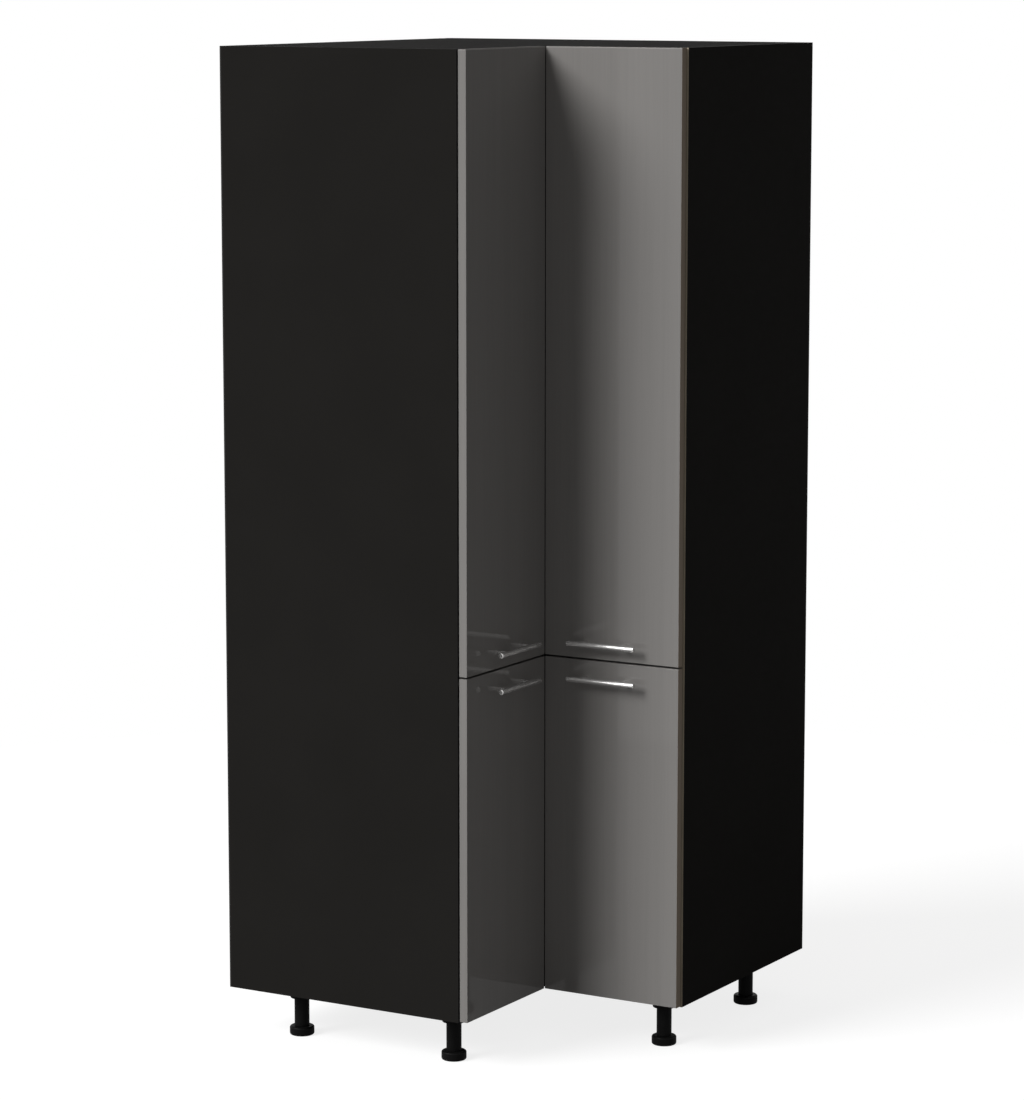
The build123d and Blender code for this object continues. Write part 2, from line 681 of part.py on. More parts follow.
def leg_flange(at):
    """The flange under the body, with a skirt round its rim and the spigot that the tube is pressed on."""
    x, y = at
    bottom = LEG_HEIGHT - FLANGE_HEIGHT
    rim = bottom - SKIRT_HEIGHT
    flange = rod((x, y, rim), Z, SKIRT_HEIGHT + FLANGE_HEIGHT, FLANGE_RADIUS)
    rim_edge = flange.edges().filter_by(GeomType.CIRCLE).sort_by(Axis.Z)[0]
    flange = fillet(rim_edge, FLANGE_ROUND)
    flange -= rod((x, y, rim - BORE_END), Z, SKIRT_HEIGHT + BORE_END, FLANGE_RADIUS - SKIRT_WALL)
    flange += rod((x, y, bottom - SPIGOT_HEIGHT), Z, SPIGOT_HEIGHT,
                  POST_RADIUS - POST_WALL - SCREW_CLEARANCE)
    for seat in leg_flange_screw_seats(at):
        flange -= screw_bore(seat, Z, WOOD_SCREW_BITE, WOOD_SCREW_RADIUS)
        flange -= rod(along(seat, Z, -WOOD_SCREW_HEAD - BORE_END), Z, WOOD_SCREW_HEAD + BORE_END,
                      WOOD_SCREW_HEAD_RADIUS + SCREW_CLEARANCE)
    return flange


def leg_post(at):
    """The leg's tube, with a narrower collar at its foot that guides the stem."""
    x, y = at
    low = FOOT_HEIGHT + FOOT_SEAT_GAP
    high = LEG_HEIGHT - FLANGE_HEIGHT
    tube = rod((x, y, low), Z, high - low, POST_RADIUS)
    tube -= rod((x, y, low + COLLAR_HEIGHT), Z, high - low, POST_RADIUS - POST_WALL)
    return tube - rod((x, y, low - BORE_END), Z, high - low, FOOT_STEM_RADIUS + STEM_CLEARANCE)


def foot(at):
    """A round foot on the stem that screws it up and down in the leg's tube."""
    x, y = at
    base = rod((x, y, 0), Z, FOOT_HEIGHT, FOOT_RADIUS)
    base = fillet(base.edges().filter_by(GeomType.CIRCLE), FOOT_ROUND)
    return base + rod((x, y, FOOT_HEIGHT - FOOT_ROUND), Z, FOOT_STEM_LENGTH + FOOT_ROUND, FOOT_STEM_RADIUS)


def wall_bracket():
    """The angle bracket under the top panel that ties the rear wall."""
    x = HALF - BRACKET_FROM_SIDE
    low = x - BRACKET_WIDTH / 2
    high = x + BRACKET_WIDTH / 2
    upright = slab(low, high, WALL - BRACKET_SHEET, WALL, TOP_BOTTOM - BRACKET_DROP, TOP_BOTTOM)
    shelf = slab(low, high, WALL - BRACKET_REACH, WALL, TOP_BOTTOM - BRACKET_SHEET, TOP_BOTTOM)
    bracket = upright + shelf
    bracket -= [screw_bore(seat, Z, WOOD_SCREW_BITE, WOOD_SCREW_RADIUS) for seat in bracket_screw_seats()]
    return bracket - wall_fixing_bores()


def bracket_screw_seats():
    """Where a bracket's two screws seat under the top panel."""
    x = HALF - BRACKET_FROM_SIDE
    y = WALL - BRACKET_SCREW_FROM_WALL
    z = TOP_BOTTOM - BRACKET_SHEET
    return [(x + side * BRACKET_HOLE_SPACING / 2, y, z) for side in (-1, 1)]


def wall_fixing_bores():
    """The two holes to the wall through a bracket and the back board behind it."""
    x = HALF - BRACKET_FROM_SIDE
    z = TOP_BOTTOM - BRACKET_HOLE_DROP
    bores = []
    for side in (-1, 1):
        start = (x + side * BRACKET_HOLE_SPACING / 2, WALL - BRACKET_SHEET - BORE_END, z)
        bores.append(rod(start, Y, BRACKET_SHEET + BACK_BOARD + 2 * BORE_END, BRACKET_HOLE_RADIUS))
    return bores


nodes = {}
end_cuts = []
rear_back_cuts = wall_fixing_bores()
left_back_cuts = [across(bore) for bore in wall_fixing_bores()]
stile_cuts = []
fasteners = {"cam_housings": [], "cam_bolts": [], "dowels": [], "shelf_pins": [], "back_panel_screws": [],
             "stile_screws": [], "wood_screws": []}

# Fixed L-shaped boards and their joints to the end panels
board_z = {"bottom": BODY_BOTTOM, "middle": MIDDLE_BOTTOM, "top": TOP_BOTTOM}
board_cuts = {"bottom": [], "middle": [], "top": []}
cam_face = {
    "bottom": (BODY_BOTTOM, Z),
    "middle": (MIDDLE_BOTTOM, Z),
    "top": (BODY_TOP, MINUS_Z),
}
for name, z in board_z.items():
    face_z, into = cam_face[name]
    joint = panel_joint(z + BOARD / 2, face_z, into)
    fasteners["cam_housings"] += both(joint["cams"])
    fasteners["cam_bolts"] += both(joint["bolts"])
    fasteners["dowels"] += both(joint["dowels"])
    board_cuts[name] += both(joint["board_cuts"])
    end_cuts += joint["end_cuts"]
board_cuts["middle"].append(stile_notch(MIDDLE_BOTTOM))

# Screws between the fixed boards and the rear corner stile
for side in (-1, 1):
    y = WALL - STILE_WIDTH / 2 + side * (STILE_WIDTH / 2 - STILE_SCREW_FROM_EDGE)
    x = -WALL + BOARD / 2
    seats = {
        "top": ((x, y, BODY_TOP - STILE_SCREW_HEAD), MINUS_Z, BOARD - STILE_SCREW_HEAD + STILE_SCREW_BITE),
        "bottom": ((x, y, BODY_BOTTOM + STILE_SCREW_HEAD), Z, BOARD - STILE_SCREW_HEAD + STILE_SCREW_BITE),
        "middle": ((-WALL + STILE_SCREW_HEAD, y, SPLIT), X, BOARD - STILE_SCREW_HEAD + STILE_SCREW_BITE),
    }
    for name, (seat, direction, bite) in seats.items():
        fasteners["stile_screws"].append(screw(seat, direction, bite, STILE_SCREW_RADIUS,
                                               STILE_SCREW_HEAD_RADIUS, STILE_SCREW_HEAD))
        cut = stile_screw_cut(seat, direction, bite)
        board_cuts[name].append(cut)
        stile_cuts.append(cut)

# Shelves, with their pins in the end panels and the stile
shelf_z = {"lower_shelf": equal_shelves(BODY_BOTTOM + BOARD, MIDDLE_BOTTOM, 1)[0]}
upper_shelves = equal_shelves(MIDDLE_BOTTOM + BOARD, TOP_BOTTOM, UPPER_SHELF_COUNT)
for i, z in enumerate(upper_shelves):
    shelf_z["upper_shelf_" + str(i + 1)] = z
for name, z in shelf_z.items():
    nodes[name] = l_board(z, SHELF_PLAY, SHELF_SETBACK) - stile_notch(z, SHELF_PLAY)
    pins, holes = shelf_pins(z)
    fasteners["shelf_pins"] += both(pins)
    end_cuts += holes
    pins, holes = stile_pins(z)
    fasteners["shelf_pins"] += pins
    stile_cuts += holes

# Back boards and their screws
for x, z, board in back_screw_stations():
    seat = (x, HALF, z)
    bore = back_screw_bore(seat, MINUS_Y)
    fasteners["back_panel_screws"] += both([back_screw(seat, MINUS_Y)])
    rear_back_cuts.append(bore)
    left_back_cuts.append(across(bore))
    if board == "end":
        end_cuts.append(bore)
    else:
        board_cuts[board] += both([bore])
for z in back_screw_rows():
    rear_seat = (-WALL + BOARD / 2, HALF, z)
    left_seat = (-HALF, WALL - STILE_WIDTH / 2, z)
    fasteners["back_panel_screws"] += [back_screw(rear_seat, MINUS_Y), back_screw(left_seat, X)]
    rear_back_cuts.append(back_screw_bore(rear_seat, MINUS_Y))
    left_back_cuts.append(back_screw_bore(left_seat, X))
    stile_cuts += [back_screw_bore(rear_seat, MINUS_Y), back_screw_bore(left_seat, X)]

# Wall brackets
nodes["wall_brackets"] = group(both([wall_bracket()]))
for seat in bracket_screw_seats():
    fasteners["wood_screws"] += both([wood_screw(seat, Z)])
    board_cuts["top"] += both([screw_bore(seat, Z, WOOD_SCREW_BITE, WOOD_SCREW_RADIUS)])

# Legs and feet
stations = leg_stations()
nodes["leg_flanges"] = group([leg_flange(at) for at in stations.values()])
nodes["leg_posts"] = group([leg_post(at) for at in stations.values()])
for name, at in stations.items():
    nodes["foot_" + name] = foot(at)
    for seat in leg_flange_screw_seats(at):
        fasteners["wood_screws"].append(wood_screw(seat, Z))
        board_cuts["bottom"].append(screw_bore(seat, Z, WOOD_SCREW_BITE, WOOD_SCREW_RADIUS))

# Doors, hinges and handles
lower_edge = SPLIT - DOOR_SPLIT_GAP / 2
upper_edge = SPLIT + DOOR_SPLIT_GAP / 2
shelf_gap_middle = (upper_shelves[-1] + upper_shelves[-2] + BOARD) / 2
door_spans = {
    "lower": (BODY_BOTTOM + DOOR_BOTTOM_INSET, lower_edge, []),
    "upper": (upper_edge, BODY_TOP, [shelf_gap_middle]),
}
handle_z = {"lower": lower_edge - LOWER_HANDLE_DROP, "upper": upper_edge + UPPER_HANDLE_HEIGHT}
plates = []
arms = []
arm_screws = []
plate_cuts = []
for level, (low, high, between) in door_spans.items():
    heights = hinge_heights(low, high, between)
    leaf = door(low, high, handle_z[level], heights)
    fold_screws = [wood_screw(seat, MINUS_Y) for seat in fold_screw_seats()]
    names = ["cups", "links", "cup_screws", "right_folds", "left_folds", "fold_screws"]
    pieces = {name: [] for name in names}
    for z in heights:
        pieces["cups"] += raised([hinge_cup(), pivot_pin(CUP_PIVOT)], z)
        pieces["links"] += raised([hinge_link()], z)
        pieces["cup_screws"] += raised([wood_screw(seat, MINUS_Y) for seat in cup_screw_seats()], z)
        pieces["right_folds"] += raised([fold_plate(fold_outer_knuckles(), PIN_FIT), fold_pin()], z)
        pieces["left_folds"] += raised([fold_plate(fold_middle_knuckle(), PIVOT_CLEARANCE)], z)
        pieces["fold_screws"] += raised(fold_screws, z)
        plates += raised([hinge_plate()], z)
        arms += raised([hinge_arm(), pivot_pin(ARM_PIVOT)], z)
        arm_screws += raised([hinge_arm_screw()], z)
        fasteners["wood_screws"] += raised([wood_screw(seat, X) for seat in plate_screw_seats()], z)
        plate_cuts += raised(plate_screw_bores(), z)
    right = level + "_right_"
    left = level + "_left_"
    nodes[right + "door"] = leaf - cup_cuts(heights)
    nodes[left + "door"] = across(leaf)
    nodes[right + "hinge_cups"] = group(pieces["cups"])
    nodes[right + "hinge_links"] = group(pieces["links"])
    nodes[right + "hinge_screws"] = group(pieces["cup_screws"] + pieces["fold_screws"])
    nodes[left + "hinge_screws"] = group([across(s) for s in pieces["fold_screws"]])
    nodes[right + "fold_plates"] = group(pieces["right_folds"])
    nodes[left + "fold_plates"] = group([across(s) for s in pieces["left_folds"]])
    handle = {
        "handle_bar": [handle_bar(handle_z[level])],
        "handle_posts": handle_posts(handle_z[level]),
        "handle_screws": handle_screws(handle_z[level]),
    }
    for piece, shapes in handle.items():
        nodes[right + piece] = group(shapes)
        nodes[left + piece] = group([across(s) for s in shapes])
nodes["hinge_plates"] = group(plates)
nodes["hinge_arms"] = group(arms)
nodes["hinge_arm_screws"] = group(arm_screws)

# Bumpers on the fixed boards' front edges: by the corner for the right doors, by the side for the left
bumpers = []
for z in (BODY_BOTTOM + BOARD / 2, lower_edge - BUMPER_FROM_DOOR_EDGE,
          upper_edge + BUMPER_FROM_DOOR_EDGE, BODY_TOP - BOARD / 2):
    by_corner = (-FRONT + BUMPER_FROM_CORNER, FRONT, z)
    by_side = (HALF - BUMPER_FROM_SIDE, FRONT, z)
    bumpers.append(rod(by_corner, MINUS_Y, DOOR_GAP - BUMPER_CLEARANCE, BUMPER_RADIUS))
    bumpers.append(across(rod(by_side, MINUS_Y, DOOR_GAP - BUMPER_CLEARANCE, BUMPER_RADIUS)))
nodes["door_bumpers"] = group(bumpers)

# End panels, with their edge bands
end_panel = slab(INNER, HALF, FRONT + EDGE_BAND, WALL, BODY_BOTTOM, BODY_TOP) - end_cuts
band = slab(INNER, HALF, FRONT, FRONT + EDGE_BAND, BODY_BOTTOM, BODY_TOP)
nodes["right_end_panel"] = end_panel - plate_cuts
nodes["left_end_panel"] = across(end_panel)
nodes["front_edge_bands"] = group(both([band]))

# Fixed boards, stile and backs
for name, z in board_z.items():
    nodes[name + "_panel"] = l_board(z) - board_cuts[name]
stile = slab(-WALL, -WALL + BOARD, WALL - STILE_WIDTH, WALL, BODY_BOTTOM + BOARD, TOP_BOTTOM)
nodes["rear_corner_stile"] = stile - stile_cuts
rear_back = slab(-WALL, HALF, WALL, HALF, BODY_BOTTOM, BODY_TOP)
left_back = slab(-HALF, -WALL, -HALF, HALF, BODY_BOTTOM, BODY_TOP)
nodes["rear_back_panel"] = rear_back - rear_back_cuts
nodes["left_back_panel"] = left_back - left_back_cuts

for name, shapes in fasteners.items():
    nodes[name] = group(shapes)

os.makedirs("parts", exist_ok=True)
for name, shape in nodes.items():
    export_step(shape, "parts/" + name + ".step")
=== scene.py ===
import json
from math import radians

import bpy
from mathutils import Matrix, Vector


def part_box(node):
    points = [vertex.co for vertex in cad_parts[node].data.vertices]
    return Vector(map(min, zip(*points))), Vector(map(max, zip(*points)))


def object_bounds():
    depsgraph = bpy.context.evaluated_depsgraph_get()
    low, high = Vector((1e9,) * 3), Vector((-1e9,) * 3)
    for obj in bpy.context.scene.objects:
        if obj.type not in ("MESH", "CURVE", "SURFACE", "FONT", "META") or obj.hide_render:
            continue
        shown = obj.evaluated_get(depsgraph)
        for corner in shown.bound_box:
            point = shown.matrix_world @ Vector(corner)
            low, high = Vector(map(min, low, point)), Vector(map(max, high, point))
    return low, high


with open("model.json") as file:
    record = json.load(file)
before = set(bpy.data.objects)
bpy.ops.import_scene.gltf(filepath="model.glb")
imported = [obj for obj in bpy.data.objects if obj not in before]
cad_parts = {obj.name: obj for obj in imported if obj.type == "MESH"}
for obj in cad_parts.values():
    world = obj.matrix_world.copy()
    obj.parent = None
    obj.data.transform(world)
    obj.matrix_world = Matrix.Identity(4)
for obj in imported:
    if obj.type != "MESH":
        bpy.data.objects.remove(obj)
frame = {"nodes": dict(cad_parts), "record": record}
cad_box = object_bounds()

# Places where solids change their finish or carry painted light, and the sizes of the strips there, in
# metres
cabinet_left, cabinet_rear = cad_box[0][0], cad_box[1][1]
door_outer, _, door_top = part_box("upper_right_door")[1]
band_depth = 0.0004
# Height of the painted highlight strip along the upper doors' top arris
arris_highlight_height = 0.0022
back_face_depth = 0.00005

# Camera, fitted to the cabinet's corners in the photograph, in metres, degrees and millimetres
camera_place = (4.1001, -7.0350, 2.2495)
camera_tilt = 90 - 8.67
camera_turn = 30.38
lens_length = 127.36
film_height = 36.0
view_depth = 60.0

camera_data = bpy.data.cameras.new("camera")
camera_data.sensor_fit = "VERTICAL"
camera_data.sensor_height = film_height
camera_data.lens = lens_length
camera_data.clip_end = view_depth
camera = bpy.data.objects.new("camera", camera_data)
camera.location = camera_place
camera.rotation_euler = (radians(camera_tilt), 0, radians(camera_turn))
bpy.context.scene.collection.objects.link(camera)
bpy.context.scene.camera = camera
bpy.context.scene.view_settings.view_transform = "Standard"

# Colours as linear red, green and blue
white = (1.0, 1.0, 1.0)
melamine_black = (0.0148, 0.0140, 0.0130)
# Painted shade: a darker copy of the board black, for the top panel only
top_painted_shade_black = (0.0120, 0.0117, 0.0113)
melamine_speck = (0.026, 0.026, 0.026)
melamine_edge = (0.050, 0.049, 0.048)
lacquer_grey = (0.205, 0.197, 0.189)
# Painted warm reflection: a pale brown for the right doors' outer edge faces, which lie in shade
door_edge_painted_reflection = (0.290, 0.240, 0.190)
door_top_brown = (0.030, 0.025, 0.021)
# Painted warm light: pale browns for the right end panel's front edging, which lies in shade
edging_painted_light_low, edging_painted_light_high = (0.35, 0.300, 0.230), (0.44, 0.380, 0.290)
edging_black = (0.015, 0.0145, 0.014)
fibre_low, fibre_mid, fibre_high = (0.150, 0.090, 0.050), (0.245, 0.155, 0.090), (0.340, 0.230, 0.140)
film_black = (0.017, 0.017, 0.0165)
beech_low, beech_high = (0.44, 0.29, 0.16), (0.62, 0.45, 0.28)
bar_steel = (0.72, 0.71, 0.70)
zinc_grey = (0.58, 0.58, 0.60)
nickel_grey = (0.62, 0.61, 0.60)
fold_black = (0.030, 0.030, 0.030)
cam_black = (0.013, 0.0127, 0.0123)
moulding_black = (0.004, 0.004, 0.004)
pad_clear = (0.70, 0.70, 0.68)
floor_grey = (0.25, 0.25, 0.25)


# Helpers for nodes and colours
class Tree:
    """The node tree of a material or a world, with short ways to add nodes and join them."""

    def __init__(self, tree):
        self.nodes = tree.nodes
        self.links = tree.links

    def add(self, kind, links=None, values=None, **settings):
        """A new node with its settings, its constant inputs and its joined inputs."""
        node = self.nodes.new(kind)
        for key, value in settings.items():
            setattr(node, key, value)
        for key, value in (values or {}).items():
            node.inputs[key].default_value = value
        for key, source in (links or {}).items():
            self.links.new(source, node.inputs[key])
        return node

    def put(self, socket, item):
        """Gives an input a number, a colour or another node's output."""
        if isinstance(item, bpy.types.NodeSocket):
            self.links.new(item, socket)
        elif isinstance(item, tuple):
            socket.default_value = (*item, 1.0)
        else:
            socket.default_value = item

    def math(self, operation, first, second):
        """An operation on two factors, each a number or another node's output."""
        node = self.add("ShaderNodeMath", operation=operation)
        self.put(node.inputs[0], first)
        self.put(node.inputs[1], second)
        return node.outputs[0]

    def weigh(self, first, second, share):
        """Two factors added, the first by a share and the second by the rest of it."""
        return self.math("ADD", self.math("MULTIPLY", first, share),
                         self.math("MULTIPLY", second, 1 - share))

    def mix(self, factor, first, second):
        """Two colours mixed by a factor, where 0 gives the first one and 1 the second one."""
        node = self.add("ShaderNodeMix", data_type="RGBA")
        for index, item in ((0, factor), (6, first), (7, second)):
            self.put(node.inputs[index], item)
        return node.outputs[2]

    def place(self, stretch=(1.0, 1.0, 1.0)):
        """The object's own coordinates. A factor below 1 draws patterns out along its axis."""
        coordinates = self.add("ShaderNodeTexCoord")
        mapping = self.add("ShaderNodeMapping", links={"Vector": coordinates.outputs["Object"]},
                           values={"Scale": stretch})
        return mapping.outputs[0]

    def beyond(self, axis, limit):
        """A mask that is 1 where the object's own coordinate passes a limit."""
        split = self.add("ShaderNodeSeparateXYZ", links={0: self.place()})
        return self.math("GREATER_THAN", split.outputs[axis], limit)

    def noise(self, vector, scale, detail=2.0, roughness=0.5):
        return self.add("ShaderNodeTexNoise", links={"Vector": vector},
                        values={"Scale": scale, "Detail": detail, "Roughness": roughness}).outputs[0]

    def ramp(self, factor, stops):
        """A colour for each factor, from stops of a position and a colour."""
        node = self.add("ShaderNodeValToRGB", links={"Fac": factor})
        elements = node.color_ramp.elements
        while len(elements) < len(stops):
            elements.new(0.5)
        for element, (position, colour) in zip(elements, stops):
            element.position = position
            element.color = (*colour, 1.0)
        return node.outputs[0]

    def span(self, factor, between, to):
        """One range of a factor stretched onto another, and held at its ends."""
        node = self.add("ShaderNodeMapRange", links={"Value": factor},
                        values={"From Min": between[0], "From Max": between[1],
                                "To Min": to[0], "To Max": to[1]})
        return node.outputs[0]

    def bump(self, height, distance, strength, normal=None):
        node = self.add("ShaderNodeBump", links={"Height": height},
                        values={"Distance": distance, "Strength": strength})
        if normal is not None:
            self.links.new(normal, node.inputs["Normal"])
        return node.outputs[0]

    def edges(self, radius):
        """A mask that is 1 on edges within the radius and 0 on flats, and the softened normal."""
        bevel = self.add("ShaderNodeBevel", values={"Radius": radius}, samples=4)
        geometry = self.add("ShaderNodeNewGeometry")
        dot = self.add("ShaderNodeVectorMath", operation="DOT_PRODUCT",
                       links={0: bevel.outputs[0], 1: geometry.outputs["Normal"]})
        away = self.math("SUBTRACT", 1.0, dot.outputs["Value"])
        return self.span(away, between=(0.02, 0.22), to=(0.0, 1.0)), bevel.outputs[0]


def material(name):
    """A new material, its node tree and its shader node."""
    made = bpy.data.materials.new(name)
    made.use_nodes = True
    return made, Tree(made.node_tree), made.node_tree.nodes["Principled BSDF"]


def finish_shader(tree, shader, colour, roughness, normal, values):
    """Joins the varied colour, roughness and normal to the shader, and sets its constants."""
    tree.links.new(colour, shader.inputs["Base Color"])
    tree.links.new(roughness, shader.inputs["Roughness"])
    tree.links.new(normal, shader.inputs["Normal"])
    for key, value in values.items():
        shader.inputs[key].default_value = value


def toned(colour, factor, lift=0.0):
    """A colour made darker or lighter by a factor, and then lifted."""
    return tuple(min(1.0, channel * factor + lift) for channel in colour)


def shades(colour, spread):
    """Two shades a little darker and lighter than a colour, for a ramp."""
    return toned(colour, 1 - spread), toned(colour, 1 + spread)


# One function for each kind of finish
def board_material(name, base, specular):
    """Black melamine board: a fine pearl grain, faint clouding and slightly paler edges."""
    made, tree, shader = material(name)
    place = tree.place()
    cloud = tree.noise(place, scale=5.0, detail=3.0)
    grain = tree.noise(place, scale=1400.0, detail=3.0, roughness=0.6)
    patches = tree.noise(place, scale=38.0)
    low, high = shades(base, spread=0.04)
    colour = tree.ramp(cloud, [(0.35, low), (0.65, high)])
    speck = tree.span(grain, between=(0.45, 0.75), to=(0.0, 0.25))
    colour = tree.mix(speck, colour, melamine_speck)
    edge_wear_and_highlight, soft = tree.edges(radius=0.0009)
    edge_wear_and_highlight = tree.math("MULTIPLY", edge_wear_and_highlight, tree.span(patches, between=(0.35, 0.7), to=(0.2, 0.8)))
    colour = tree.mix(edge_wear_and_highlight, colour, melamine_edge)
    sheen = tree.noise(place, scale=90.0, detail=4.0)
    rough = tree.span(sheen, between=(0.3, 0.7), to=(0.50, 0.60))
    normal = tree.bump(grain, distance=0.00004, strength=0.5, normal=soft)
    finish_shader(tree, shader, colour, rough, normal, {"Specular IOR Level": specular})
    return made


def front_material(name, base, roughness):
    """High gloss lacquer: long faint vertical streaks, a slight ripple and a clear coat.

    The upper doors' top edges are brown bands with no coat. The right doors' outer edges have
    no coat and a pale brown: painted warm reflection on faces in shade. The rounded edges are
    paler, a painted highlight, and the arris along the top is paler still, a painted highlight
    where it catches the light.
    """
    made, tree, shader = material(name)
    upright = tree.place(stretch=(1.0, 1.0, 0.012))
    streaks = tree.noise(upright, scale=260.0, detail=4.0, roughness=0.65)
    wide = tree.noise(upright, scale=34.0)
    low, high = shades(base, spread=0.028)
    colour = tree.ramp(tree.weigh(streaks, wide, share=0.6), [(0.38, low), (0.62, high)])
    edge_wear_and_highlight, soft = tree.edges(radius=0.0010)
    painted_edge_highlight, edge_share, painted_arris_highlight = toned(base, 1.35), 0.35, toned(base, 1.4)
    # Painted highlight: the door edges within the bevel radius are made paler, as if they caught the
    # light
    colour = tree.mix(tree.math("MULTIPLY", edge_wear_and_highlight, edge_share), colour, painted_edge_highlight)
    # Painted highlight: a paler strip along the top of the upper doors, where the arris catches the
    # light
    colour = tree.mix(tree.beyond(2, door_top - arris_highlight_height), colour, painted_arris_highlight)
    outer = tree.beyond(0, door_outer - band_depth)
    top = tree.beyond(2, door_top - band_depth)
    # Painted warm reflection: the right doors' outer edge faces get a pale brown and no coat, to look
    # lit in shade
    colour = tree.mix(outer, colour, door_edge_painted_reflection)
    colour = tree.mix(top, colour, door_top_brown)
    coat = tree.span(tree.math("MAXIMUM", outer, top), between=(0.0, 1.0), to=(0.45, 0.0))
    tree.links.new(coat, shader.inputs["Coat Weight"])
    sheen = tree.noise(upright, scale=120.0, detail=3.0)
    rough = tree.span(sheen, between=(0.3, 0.7), to=(roughness, roughness + 0.08))
    ripple = tree.noise(tree.place(), scale=26.0, detail=1.0)
    normal = tree.bump(ripple, distance=0.00012, strength=0.25, normal=soft)
    finish_shader(tree, shader, colour, rough, normal,
                  {"Coat Roughness": 0.045, "Coat IOR": 1.45, "Specular IOR Level": 0.002})
    return made


def edging_material():
    """The end panels' front edging: black on the left one; on the right one pale brown, painted warm
    light in shade.
    """
    made, tree, shader = material("front_edging")
    streaks = tree.noise(tree.place(stretch=(1.0, 1.0, 0.03)), scale=300.0, detail=3.0)
    brown = tree.ramp(streaks, [(0.35, edging_painted_light_low), (0.65, edging_painted_light_high)])
    # Painted warm light: the right edging is a pale brown, though it lies in the door's shadow
    colour = tree.mix(tree.beyond(0, door_outer / 2), edging_black, brown)
    rough = tree.span(streaks, between=(0.3, 0.7), to=(0.45, 0.55))
    soft = tree.edges(radius=0.0004)[1]
    normal = tree.bump(streaks, distance=0.00002, strength=0.4, normal=soft)
    finish_shader(tree, shader, colour, rough, normal, {"Specular IOR Level": 0.05})
    return made


def hardboard_material():
    """Thin hardboard: bare brown fibres on the outside face, black film on the inside one."""
    made, tree, shader = material("hardboard")
    fibre = tree.noise(tree.place(stretch=(1.0, 1.0, 0.35)), scale=420.0, detail=6.0, roughness=0.7)
    cloud = tree.noise(tree.place(), scale=7.0, detail=4.0)
    brown = tree.ramp(tree.weigh(fibre, cloud, share=0.7),
                      [(0.32, fibre_low), (0.50, fibre_mid), (0.68, fibre_high)])
    rear = tree.beyond(1, cabinet_rear - back_face_depth)
    inward = tree.beyond(0, cabinet_left + back_face_depth)
    outside = tree.math("MAXIMUM", rear, tree.math("SUBTRACT", 1.0, inward))
    colour = tree.mix(outside, film_black, brown)
    rough = tree.span(fibre, between=(0.3, 0.7), to=(0.62, 0.80))
    normal = tree.bump(fibre, distance=0.00012, strength=0.6)
    finish_shader(tree, shader, colour, rough, normal, {"Specular IOR Level": 0.2})
    return made


def metal_material(name, base, roughness, scale, stretch=(1.0, 1.0, 1.0), axis=None):
    """Metal with a fine grain and a little clouding.

    With an axis it is a bar brushed along that axis: partly diffuse, with its highlights
    spread round it.
    """
    made, tree, shader = material(name)
    lines = tree.noise(tree.place(stretch), scale=scale, detail=3.0, roughness=0.6)
    cloud = tree.noise(tree.place(), scale=45.0)
    low, high = shades(base, spread=0.08)
    colour = tree.ramp(lines, [(0.3, low), (0.7, high)])
    dull, bright_edge, edge_share = toned(base, 0.75), toned(base, 1.2), 0.4
    colour = tree.mix(tree.span(cloud, between=(0.4, 0.7), to=(0.0, 0.15)), colour, dull)
    edge_wear_and_highlight, soft = tree.edges(radius=0.0003)
    colour = tree.mix(tree.math("MULTIPLY", edge_wear_and_highlight, edge_share), colour, bright_edge)
    rough = tree.span(lines, between=(0.3, 0.7), to=(roughness, roughness + 0.12))
    normal = tree.bump(lines, distance=0.00002, strength=0.4, normal=soft)
    if axis:
        around = tree.add("ShaderNodeTangent", direction_type="RADIAL", axis=axis)
        tree.links.new(around.outputs[0], shader.inputs["Tangent"])
        finish_shader(tree, shader, colour, rough, normal, {"Metallic": 0.82, "Anisotropic": 0.75})
    else:
        finish_shader(tree, shader, colour, rough, normal, {"Metallic": 1.0})
    return made


def plastic_material(name, base, roughness, specular, transmission=0.0):
    """Moulded plastic: a fine spark-eroded grain and slightly scuffed edges."""
    made, tree, shader = material(name)
    place = tree.place()
    grain = tree.noise(place, scale=2200.0, roughness=0.6)
    cloud = tree.noise(place, scale=60.0, detail=3.0)
    patches = tree.noise(place, scale=180.0)
    low, high = shades(base, spread=0.15)
    colour = tree.ramp(cloud, [(0.35, low), (0.65, high)])
    edge_wear_and_highlight, soft = tree.edges(radius=0.0008)
    edge_wear_and_highlight = tree.math("MULTIPLY", edge_wear_and_highlight, tree.span(patches, between=(0.35, 0.65), to=(0.1, 0.6)))
    scuffed = toned(base, 2.2, lift=0.01)
    colour = tree.mix(edge_wear_and_highlight, colour, scuffed)
    rough = tree.span(cloud, between=(0.3, 0.7), to=(roughness, roughness + 0.12))
    normal = tree.bump(grain, distance=0.00003, strength=0.5, normal=soft)
    finish_shader(tree, shader, colour, rough, normal,
                  {"Specular IOR Level": specular, "Transmission Weight": transmission})
    return made


def wood_material():
    """Beech for the dowels, with a fine fleck."""
    made, tree, shader = material("beech")
    grain = tree.noise(tree.place(), scale=700.0, detail=5.0, roughness=0.65)
    colour = tree.ramp(grain, [(0.3, beech_low), (0.7, beech_high)])
    rough = tree.span(grain, between=(0.3, 0.7), to=(0.55, 0.7))
    normal = tree.bump(grain, distance=0.0001, strength=0.5)
    finish_shader(tree, shader, colour, rough, normal, {"Specular IOR Level": 0.3})
    return made


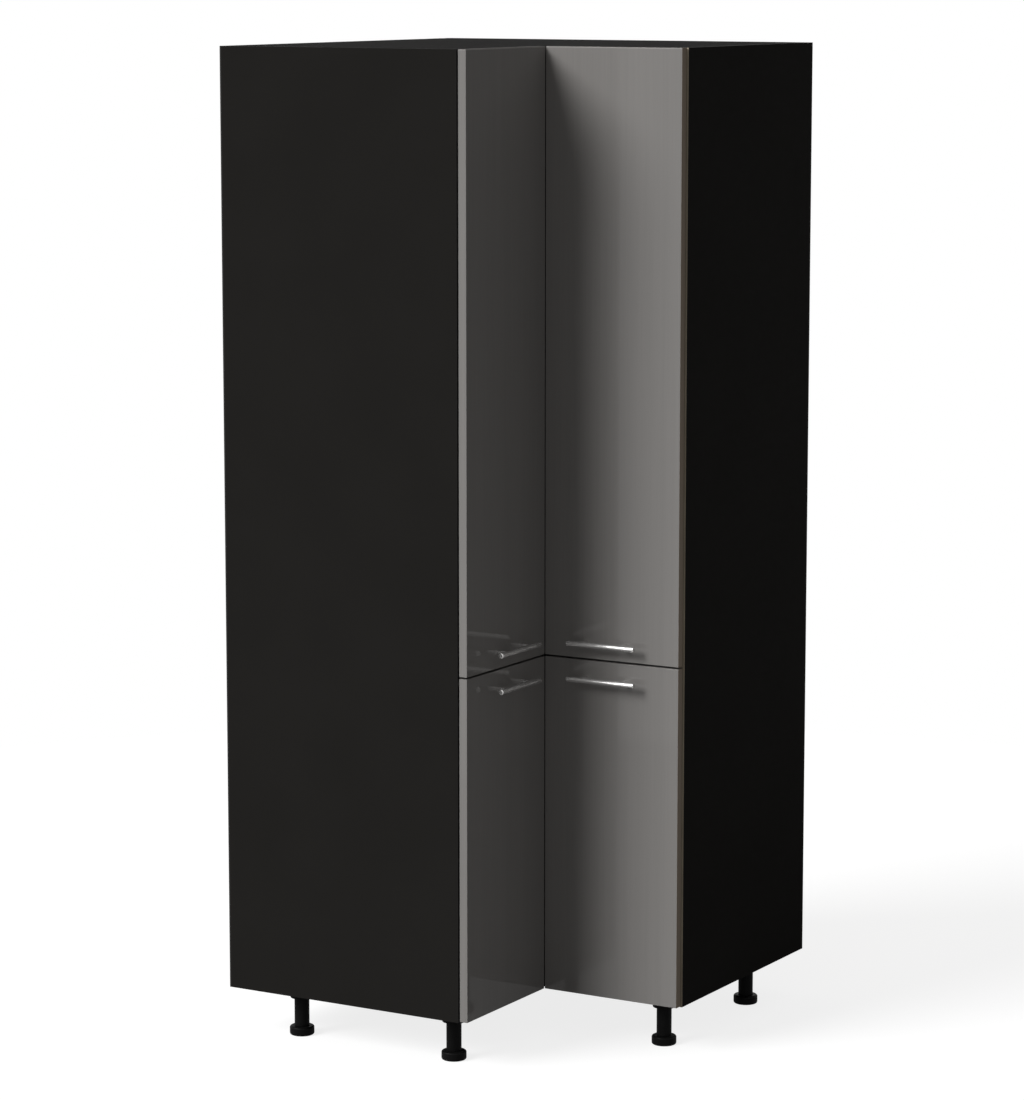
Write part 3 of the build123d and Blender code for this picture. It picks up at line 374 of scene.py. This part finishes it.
# The finish of each material slot, and of the pieces that differ from their slot
looks = {
    "carcass_board": board_material("black_melamine", melamine_black, specular=0.003),
    "back_board": hardboard_material(),
    "door_front": front_material("gloss_front", lacquer_grey, roughness=0.30),
    "edge_band": edging_material(),
    "screw_steel": metal_material("zinc_plate", zinc_grey, roughness=0.26, scale=500.0),
    "hinge_steel": metal_material("nickel_plate", nickel_grey, roughness=0.18, scale=300.0),
    "fold_steel": metal_material("blackened_steel", fold_black, roughness=0.40, scale=300.0),
    "cam_zinc": plastic_material("blackened_cams", cam_black, roughness=0.50, specular=0.0004),
    "dowel_wood": wood_material(),
    "leg_plastic": plastic_material("black_moulding", moulding_black, roughness=0.40, specular=0.06),
    "bumper": plastic_material("clear_pad", pad_clear, roughness=0.30, specular=0.45, transmission=0.35),
}
right_steel = metal_material("satin_steel_right", bar_steel, roughness=0.17, scale=900.0,
                             stretch=(0.01, 1.0, 1.0), axis="X")
left_steel = metal_material("satin_steel_left", bar_steel, roughness=0.17, scale=900.0,
                            stretch=(1.0, 0.01, 1.0), axis="Y")
# Painted shade: the top panel gets a darker copy of the board colour, with less shine
top_board_painted_shade = board_material("black_melamine_top_painted_shade", top_painted_shade_black, specular=0.0004)

for part in frame["record"]["subparts"]:
    node, slot = part["node"], part["material_slot"]
    if slot == "handle_steel":
        look = right_steel if "_right_" in node else left_steel
    elif node == "top_panel":
        look = top_board_painted_shade
    else:
        look = looks[slot]
    mesh = frame["nodes"][node].data
    mesh.materials.clear()
    mesh.materials.append(look)

# Floor: white for the camera, keeping the cabinet's shadow
floor_radius, floor_sides = 3.2, 96
floor_glow, mirrored_glow = 0.82, 0.28

bpy.ops.mesh.primitive_circle_add(vertices=floor_sides, radius=floor_radius, fill_type="NGON",
                                  location=(0, 0, 0))
floor = bpy.context.object
floor.name = "floor"
made, tree, shader = material("studio_floor")
path = tree.add("ShaderNodeLightPath")
direct = tree.math("MAXIMUM", path.outputs["Is Camera Ray"], path.outputs["Is Transmission Ray"])
mirrored = tree.math("MULTIPLY", path.outputs["Is Glossy Ray"], mirrored_glow)
glow = tree.math("MAXIMUM", tree.math("MULTIPLY", direct, floor_glow), mirrored)
tree.links.new(glow, shader.inputs["Emission Strength"])
tree.put(shader.inputs["Emission Color"], white)
tree.put(shader.inputs["Base Color"], floor_grey)
tree.put(shader.inputs["Roughness"], 0.9)
tree.put(shader.inputs["Specular IOR Level"], 0.0)
floor.data.materials.append(made)

# World: white where it is seen, and elsewhere a broad soft light from the left
light_side = Vector((-0.95, -0.20, 0.25)).normalized()
dim_light, bright_light = 0.185, 0.50

world = bpy.data.worlds.new("studio")
bpy.context.scene.world = world
world.use_nodes = True
tree = Tree(world.node_tree)
background = world.node_tree.nodes["Background"]
direction = tree.add("ShaderNodeTexCoord").outputs["Generated"]
facing = tree.add("ShaderNodeVectorMath", operation="DOT_PRODUCT", links={0: direction},
                  values={1: light_side}).outputs["Value"]
light = tree.span(facing, between=(-0.2, 1.0), to=(dim_light, bright_light))
path = tree.add("ShaderNodeLightPath")
seen = tree.math("MAXIMUM", path.outputs["Is Camera Ray"], path.outputs["Is Glossy Ray"])
seen = tree.math("MAXIMUM", seen, path.outputs["Is Transmission Ray"])
strength = tree.add("ShaderNodeMix", data_type="FLOAT", links={0: seen, 2: light}, values={3: 1.0})
tree.links.new(strength.outputs[0], background.inputs["Strength"])
tree.put(background.inputs["Color"], white)

# Key light: a broad sun from the front left and above
sun_direction = (0.60, 1.0, -0.80)
sun_energy = 3.38
sun_width = 31.0

sun_data = bpy.data.lights.new("key", "SUN")
sun_data.energy = sun_energy
sun_data.angle = radians(sun_width)
sun = bpy.data.objects.new("key", sun_data)
sun.rotation_euler = Vector(sun_direction).to_track_quat("-Z", "Y").to_euler()
bpy.context.scene.collection.objects.link(sun)
